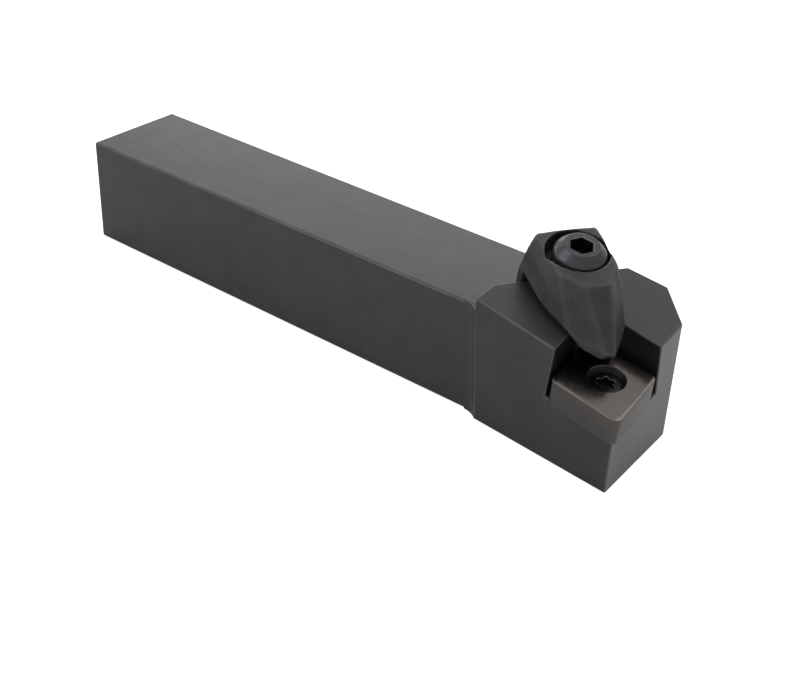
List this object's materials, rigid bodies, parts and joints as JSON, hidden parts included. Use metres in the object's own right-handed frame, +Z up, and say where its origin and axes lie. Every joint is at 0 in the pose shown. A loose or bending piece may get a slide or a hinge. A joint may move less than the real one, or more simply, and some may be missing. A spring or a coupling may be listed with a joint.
{
  "type": "turning tool holder",
  "caption": "External turning tool holder with a square shank, a shim in a tilted pocket and a screw-down top clamp, left hand, without an insert.",
  "frame": {"origin": "on the centreline of the shank's underside, 75 mm from the rear end face", "axes": "+X along the shank towards the head, +Z up from the underside, the cutting side at -Y"},
  "size_m": [0.1494, 0.0341, 0.0397],
  "materials": {
    "black_oxide_steel": "matt black oxide",
    "clamp_black_steel": "forged and blackened",
    "screw_steel": "blackened, satin",
    "carbide": "ground, satin",
    "spring_steel": "drawn wire"
  },
  "bodies": {
    "holder": {"holder_body": "black_oxide_steel", "seat_shim": "carbide", "shim_screw": "screw_steel", "lift_spring": "spring_steel"},
    "clamp": {"clamp": "clamp_black_steel"},
    "screw": {"clamp_screw": "screw_steel"}
  },
  "joints": [
    {"name": "clamp_lift", "type": "slide", "parent": "holder", "child": "clamp", "axis": [0.1713, -0.1178, 0.9781], "range_m": [0, 0.004], "deforming": ["lift_spring"]},
    {"name": "screw_turn", "type": "hinge", "parent": "clamp", "child": "screw", "pos_m": [0.05193, 0.00008, 0.037], "axis": [0.1713, -0.1178, 0.9781], "range_deg": [0, 1440]}
  ],
  "couplings": [
    {"joint": "screw_turn", "follows": "clamp_lift", "rad_per_m": 6283.2}
  ]
}
